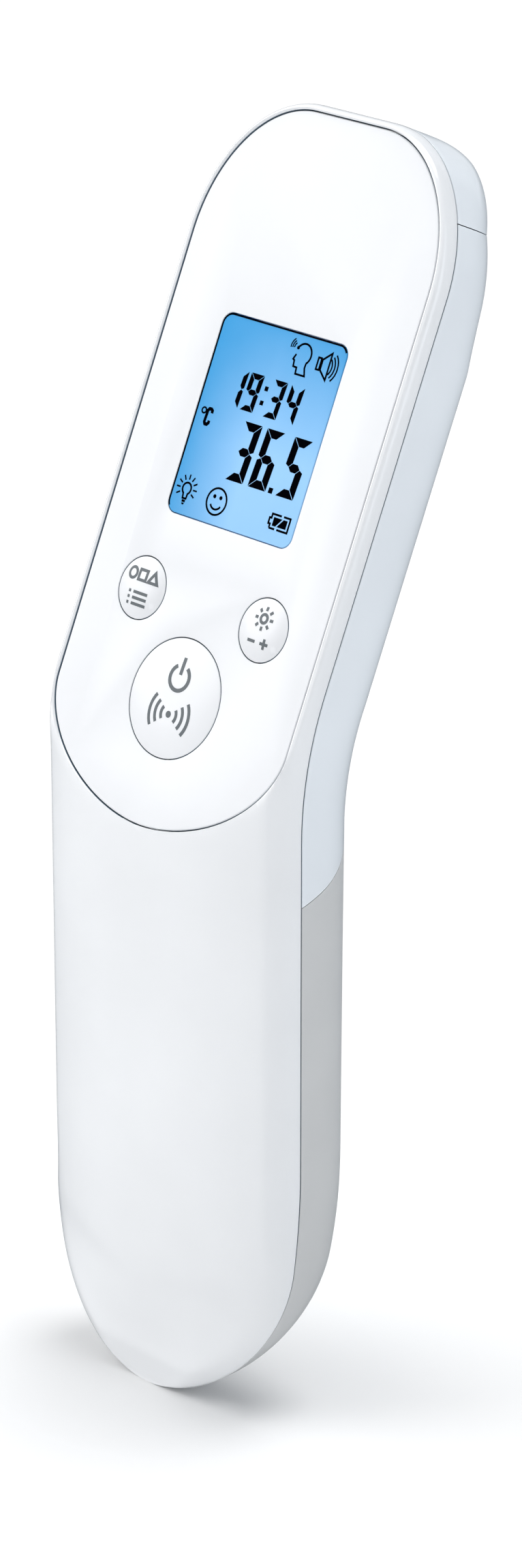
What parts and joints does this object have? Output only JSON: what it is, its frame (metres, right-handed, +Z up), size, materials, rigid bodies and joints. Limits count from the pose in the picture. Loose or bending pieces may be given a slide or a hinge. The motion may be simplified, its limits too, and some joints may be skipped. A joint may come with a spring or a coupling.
{
  "type": "infrared thermometer",
  "caption": "Hand-held non-contact infrared thermometer: tapered grip, tilted head with display and push buttons, end-facing sensor, sliding battery door.",
  "frame": {"origin": "middle of the grip, on the plane where the front and rear shells meet", "axes": "+Z up along the grip, +X to the right as seen from the front, -Y to the front (buttons and display), +Y to the back"},
  "size_m": [0.05, 0.0554, 0.1854],
  "materials": {
    "front_casing": "glossy moulded white",
    "face_panel": "high gloss white panel",
    "display_window": "clear polished window",
    "button": "soft gloss white with grey marks",
    "rear_shell": "glossy pale blue grey",
    "battery_door": "satin warm grey",
    "display": "backlit blue display",
    "inner_frame": "matt white",
    "light_guide": "clear acrylic",
    "rubber": "matt black rubber",
    "circuit_board": "green solder mask",
    "chip": "moulded black",
    "plated_steel": "nickel plated",
    "sensor_window": "dark infrared filter",
    "brass": "gold plated",
    "cradle": "matt dark grey",
    "cell": "printed foil sleeve",
    "red_lead": "red insulation",
    "black_lead": "black insulation"
  },
  "bodies": {
    "body": {"front_casing": "front_casing", "face_panel": "face_panel", "display_window": "display_window", "rear_casing": "rear_shell", "sensor_cover": "rear_shell", "lcd_glass": "display", "lcd_frame": "inner_frame", "backlight_guide": "light_guide", "backlight_led": "inner_frame", "zebra_connector": "rubber", "main_pcb": "circuit_board", "sensor_board": "circuit_board", "mcu_chip": "chip", "buzzer": "chip", "crystal": "plated_steel", "mode_switch": "chip", "light_switch": "chip", "scan_switch": "chip", "sensor_ring": "plated_steel", "sensor_window": "sensor_window", "sensor_gasket": "rubber", "sensor_barrel": "brass", "thermopile": "plated_steel", "battery_cradle": "cradle", "battery_left": "cell", "battery_right": "cell", "spring_left": "plated_steel", "spring_right": "plated_steel", "positive_plate": "plated_steel", "negative_plate": "plated_steel", "bridge_plate": "plated_steel", "lead_positive": "red_lead", "lead_negative": "black_lead", "pcb_screw_1": "plated_steel", "pcb_screw_2": "plated_steel", "pcb_screw_3": "plated_steel", "pcb_screw_4": "plated_steel", "cradle_screw_1": "plated_steel", "rear_screw_1": "plated_steel", "cradle_screw_2": "plated_steel", "rear_screw_2": "plated_steel"},
    "mode_button": {"mode_button": "button", "mode_plunger": "inner_frame"},
    "light_button": {"light_button": "button", "light_plunger": "inner_frame"},
    "scan_button": {"scan_button": "button", "scan_plunger": "inner_frame"},
    "battery_door": {"battery_door": "battery_door"}
  },
  "joints": [
    {"name": "mode_press", "type": "slide", "parent": "body", "child": "mode_button", "axis": [0, 0.9135, -0.4067], "range_m": [0, 0.0005], "stiffness_N_per_m": 800, "springref_m": -0.0002},
    {"name": "light_press", "type": "slide", "parent": "body", "child": "light_button", "axis": [0, 0.9135, -0.4067], "range_m": [0, 0.0005], "stiffness_N_per_m": 800, "springref_m": -0.0002},
    {"name": "scan_press", "type": "slide", "parent": "body", "child": "scan_button", "axis": [0, 0.9135, -0.4067], "range_m": [0, 0.0006], "stiffness_N_per_m": 800, "springref_m": -0.0002},
    {"name": "battery_door_slide", "type": "slide", "parent": "body", "child": "battery_door", "axis": [0, 0, -1], "range_m": [0, 0.09]}
  ]
}
